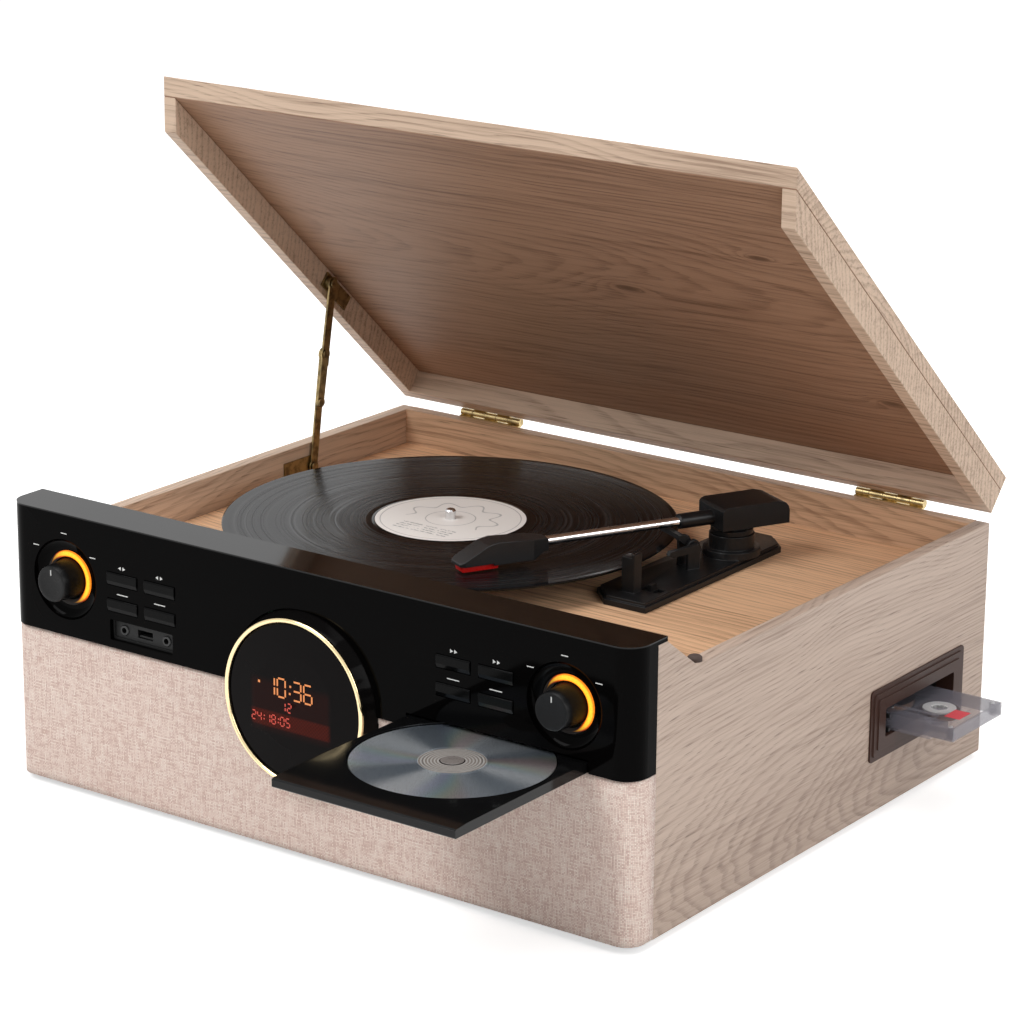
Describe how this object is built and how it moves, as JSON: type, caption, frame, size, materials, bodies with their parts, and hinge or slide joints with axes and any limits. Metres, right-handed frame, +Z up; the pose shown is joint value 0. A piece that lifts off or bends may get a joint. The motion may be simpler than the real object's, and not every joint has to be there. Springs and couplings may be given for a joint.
{
  "type": "stereo music centre",
  "caption": "Wood-cased music centre: lidded turntable with tonearm, round display, knobs and keys, disc tray, cassette slot, cloth grille.",
  "frame": {"origin": "centre of the cabinet's footprint on the surface it stands on", "axes": "+X to the right seen from the front, +Y to the back, +Z up; the front faces -Y"},
  "size_m": [0.529, 0.5602, 0.4395],
  "materials": {
    "wood": "satin, light walnut grain",
    "wood_end": "raw board",
    "gloss_black": "high gloss",
    "black_plastic": "satin",
    "cloth": "woven, two-tone",
    "gold": "polished",
    "bronze": "antique",
    "lens": "smoked, glossy",
    "board_green": "lacquered circuit board",
    "light": "translucent, lit",
    "steel": "bright",
    "rubber": "matt",
    "bumper_rubber": "matt",
    "brown_plastic": "satin",
    "mat": "matt",
    "vinyl": "grooved",
    "aluminium": "satin",
    "disc": "mirrored",
    "shell": "clear",
    "brass_part": "turned",
    "arm_metal": "satin black"
  },
  "bodies": {
    "cabinet": {"side_left": "wood", "side_right": "wood", "rear_panel": "wood", "base_panel": "wood_end", "front_rail": "wood", "grille_frame": "black_plastic", "grille_cloth": "cloth", "fascia": "gloss_black", "display_housing": "gloss_black", "display_bezel": "gold", "display_lens": "lens", "control_board": "board_green", "light_rings": "light", "port_pocket": "black_plastic", "speakers": "black_plastic", "main_board": "board_green", "power_unit": "steel", "rear_sockets": "black_plastic", "cd_loader": "black_plastic", "cassette_surround": "brown_plastic", "cassette_deck": "black_plastic", "deck_board": "wood", "spindle": "steel", "platter_motor": "steel", "drive_belt": "rubber", "arm_base": "black_plastic", "feet": "rubber", "bumpers": "bumper_rubber", "stay_bracket_lower": "bronze", "hinge_leaves_lower": "bronze"},
    "lid": {"lid_top": "wood", "lid_walls": "wood", "hinge_leaves_upper": "bronze", "stay_bracket_upper": "bronze"},
    "lower_arm": {"stay_arm_lower": "bronze"},
    "upper_arm": {"stay_arm_upper": "bronze"},
    "turntable": {"platter": "aluminium", "slip_mat": "mat", "record": "vinyl"},
    "pulley": {"motor_pulley": "brass_part"},
    "arm_stage": {"arm_yoke": "black_plastic"},
    "tonearm": {"arm_tube": "aluminium", "arm_housing": "arm_metal", "headshell": "black_plastic", "cartridge": "black_plastic"},
    "cue": {"cue_lever": "black_plastic"},
    "speed": {"speed_lever": "black_plastic"},
    "tray": {"cd_tray": "gloss_black", "disc": "disc"},
    "tape": {"cassette": "shell"},
    "left_knob": {"knob_left": "black_plastic"},
    "right_knob": {"knob_right": "black_plastic"},
    "button_left_1_key": {"button_left_1": "gloss_black"},
    "button_left_2_key": {"button_left_2": "gloss_black"},
    "button_left_3_key": {"button_left_3": "gloss_black"},
    "button_left_4_key": {"button_left_4": "gloss_black"},
    "button_right_1_key": {"button_right_1": "gloss_black"},
    "button_right_2_key": {"button_right_2": "gloss_black"},
    "button_right_3_key": {"button_right_3": "gloss_black"},
    "button_right_4_key": {"button_right_4": "gloss_black"}
  },
  "joints": [
    {"name": "lid_hinge", "type": "hinge", "parent": "cabinet", "child": "lid", "pos_m": [0, 0.21, 0.165], "axis": [1, 0, 0], "range_deg": [0, 42.3]},
    {"name": "stay_lower_pivot", "type": "hinge", "parent": "cabinet", "child": "lower_arm", "pos_m": [-0.23, 0.086, 0.1455], "axis": [1, 0, 0], "range_deg": [-1, 78]},
    {"name": "stay_upper_pivot", "type": "hinge", "parent": "lid", "child": "upper_arm", "pos_m": [-0.227, 0.10675, 0.27382], "axis": [1, 0, 0], "range_deg": [-116, 1]},
    {"name": "platter_spin", "type": "hinge", "parent": "cabinet", "child": "turntable", "pos_m": [-0.054, 0.013, 0.1575], "axis": [0, 0, 1], "continuous": true},
    {"name": "pulley_spin", "type": "hinge", "parent": "cabinet", "child": "pulley", "pos_m": [-0.12922, -0.02208, 0.1375], "axis": [0, 0, 1], "continuous": true},
    {"name": "arm_swing", "type": "hinge", "parent": "cabinet", "child": "arm_stage", "pos_m": [0.11, 0.1, 0.17], "axis": [0, 0, 1], "range_deg": [-17.2, 23.1]},
    {"name": "arm_lift", "type": "hinge", "parent": "arm_stage", "child": "tonearm", "pos_m": [0.11, 0.1, 0.17], "axis": [-0.8878, 0.4602, 0], "range_deg": [0, 1.7]},
    {"name": "cue_turn", "type": "hinge", "parent": "cabinet", "child": "cue", "pos_m": [0.09159, 0.06449, 0.159], "axis": [-0.8878, 0.4602, 0], "range_deg": [-0.5, 14.5]},
    {"name": "speed_slide", "type": "slide", "parent": "cabinet", "child": "speed", "axis": [1, 0, 0], "range_m": [-0.005, 0.005]},
    {"name": "tray_slide", "type": "slide", "parent": "cabinet", "child": "tray", "axis": [0, 1, 0], "range_m": [0, 0.126]},
    {"name": "cassette_slide", "type": "slide", "parent": "cabinet", "child": "tape", "axis": [-1, 0, 0], "range_m": [0, 0.04]},
    {"name": "left_knob_spin", "type": "hinge", "parent": "cabinet", "child": "left_knob", "pos_m": [-0.1935, -0.208, 0.145], "axis": [0, 1, 0], "continuous": true},
    {"name": "right_knob_spin", "type": "hinge", "parent": "cabinet", "child": "right_knob", "pos_m": [0.1935, -0.208, 0.145], "axis": [0, 1, 0], "continuous": true},
    {"name": "button_left_1_press", "type": "slide", "parent": "cabinet", "child": "button_left_1_key", "axis": [0, 1, 0], "range_m": [0, 0.001], "stiffness_N_per_m": 800},
    {"name": "button_left_2_press", "type": "slide", "parent": "cabinet", "child": "button_left_2_key", "axis": [0, 1, 0], "range_m": [0, 0.001], "stiffness_N_per_m": 800},
    {"name": "button_left_3_press", "type": "slide", "parent": "cabinet", "child": "button_left_3_key", "axis": [0, 1, 0], "range_m": [0, 0.001], "stiffness_N_per_m": 800},
    {"name": "button_left_4_press", "type": "slide", "parent": "cabinet", "child": "button_left_4_key", "axis": [0, 1, 0], "range_m": [0, 0.001], "stiffness_N_per_m": 800},
    {"name": "button_right_1_press", "type": "slide", "parent": "cabinet", "child": "button_right_1_key", "axis": [0, 1, 0], "range_m": [0, 0.001], "stiffness_N_per_m": 800},
    {"name": "button_right_2_press", "type": "slide", "parent": "cabinet", "child": "button_right_2_key", "axis": [0, 1, 0], "range_m": [0, 0.001], "stiffness_N_per_m": 800},
    {"name": "button_right_3_press", "type": "slide", "parent": "cabinet", "child": "button_right_3_key", "axis": [0, 1, 0], "range_m": [0, 0.001], "stiffness_N_per_m": 800},
    {"name": "button_right_4_press", "type": "slide", "parent": "cabinet", "child": "button_right_4_key", "axis": [0, 1, 0], "range_m": [0, 0.001], "stiffness_N_per_m": 800}
  ],
  "couplings": [
    {"joint": "stay_lower_pivot", "follows": "lid_hinge", "ratio": 1.816},
    {"joint": "stay_upper_pivot", "follows": "lid_hinge", "ratio": -2.704},
    {"joint": "pulley_spin", "follows": "platter_spin", "ratio": 14},
    {"joint": "cue_turn", "follows": "arm_lift", "ratio": 8.2353}
  ]
}
